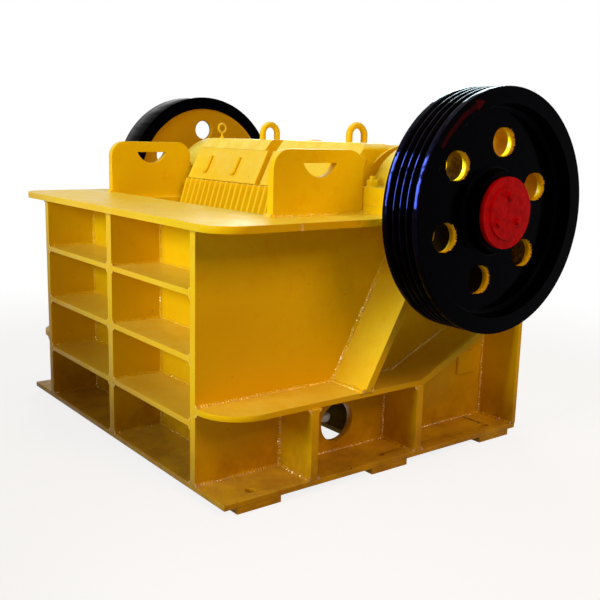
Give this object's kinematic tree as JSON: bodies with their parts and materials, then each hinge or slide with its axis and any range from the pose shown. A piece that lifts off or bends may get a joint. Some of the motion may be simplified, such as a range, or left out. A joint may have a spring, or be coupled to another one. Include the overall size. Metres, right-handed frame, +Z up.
{
  "type": "jaw crusher",
  "caption": "Wide-mouth jaw crusher: welded plate frame with pocketed front, feed opening between two lifting ears, orbiting swing jaw, grooved pulley and flywheel on an eccentric shaft.",
  "frame": {"origin": "on the floor, at the middle of the machine's outline", "axes": "+X along the shaft towards the grooved pulley, -Y out of the pocketed front, +Z up"},
  "size_m": [2.678, 2.007, 1.691],
  "materials": {
    "yellow_paint": "gloss enamel over welded plate",
    "black_paint": "gloss black enamel",
    "red_paint": "gloss red enamel",
    "bare_steel": "machined steel, oiled"
  },
  "bodies": {
    "frame": {"base_plate": "yellow_paint", "foot_pads": "yellow_paint", "side_wall_left": "yellow_paint", "side_wall_right": "yellow_paint", "front_wall": "yellow_paint", "rear_wall": "yellow_paint", "front_shelf_lower": "yellow_paint", "front_shelf_middle": "yellow_paint", "front_shelf_upper": "yellow_paint", "front_middle_rib": "yellow_paint", "top_plate": "yellow_paint", "rear_top_plate": "yellow_paint", "mid_flange_left": "yellow_paint", "mid_flange_right": "yellow_paint", "front_rib_left": "yellow_paint", "front_rib_right": "yellow_paint", "rear_rib_left": "yellow_paint", "rear_rib_right": "yellow_paint", "front_brace_left": "yellow_paint", "front_brace_right": "yellow_paint", "rear_brace_left": "yellow_paint", "rear_brace_right": "yellow_paint", "bearing_seat_left": "yellow_paint", "bearing_seat_right": "yellow_paint", "bearing_cap_left": "yellow_paint", "bearing_cap_right": "yellow_paint", "bearing_covers": "yellow_paint", "cheek_plate_left": "yellow_paint", "cheek_plate_right": "yellow_paint", "fixed_jaw_plate": "yellow_paint", "toggle_beam": "yellow_paint", "toggle_plate": "bare_steel", "tension_rods": "bare_steel", "tension_springs": "bare_steel"},
    "rotor": {"eccentric_shaft": "bare_steel", "pulley": "black_paint", "flywheel": "black_paint", "shaft_caps": "red_paint"},
    "swing_jaw": {"pitman": "yellow_paint", "swing_jaw_plate": "yellow_paint", "clamp_plates": "yellow_paint", "lifting_rings": "yellow_paint", "eyebolt": "yellow_paint", "clamp_hooks": "yellow_paint", "tension_pin": "bare_steel"}
  },
  "joints": [
    {"name": "shaft_spin", "type": "hinge", "parent": "frame", "child": "rotor", "pos_m": [0, 0.2205, 1.174], "axis": [1, 0, 0], "continuous": true},
    {"name": "jaw_orbit", "type": "hinge", "parent": "rotor", "child": "swing_jaw", "pos_m": [0, 0.2205, 1.164], "axis": [1, 0, 0], "continuous": true}
  ],
  "couplings": [
    {"joint": "jaw_orbit", "follows": "shaft_spin", "ratio": -1}
  ]
}
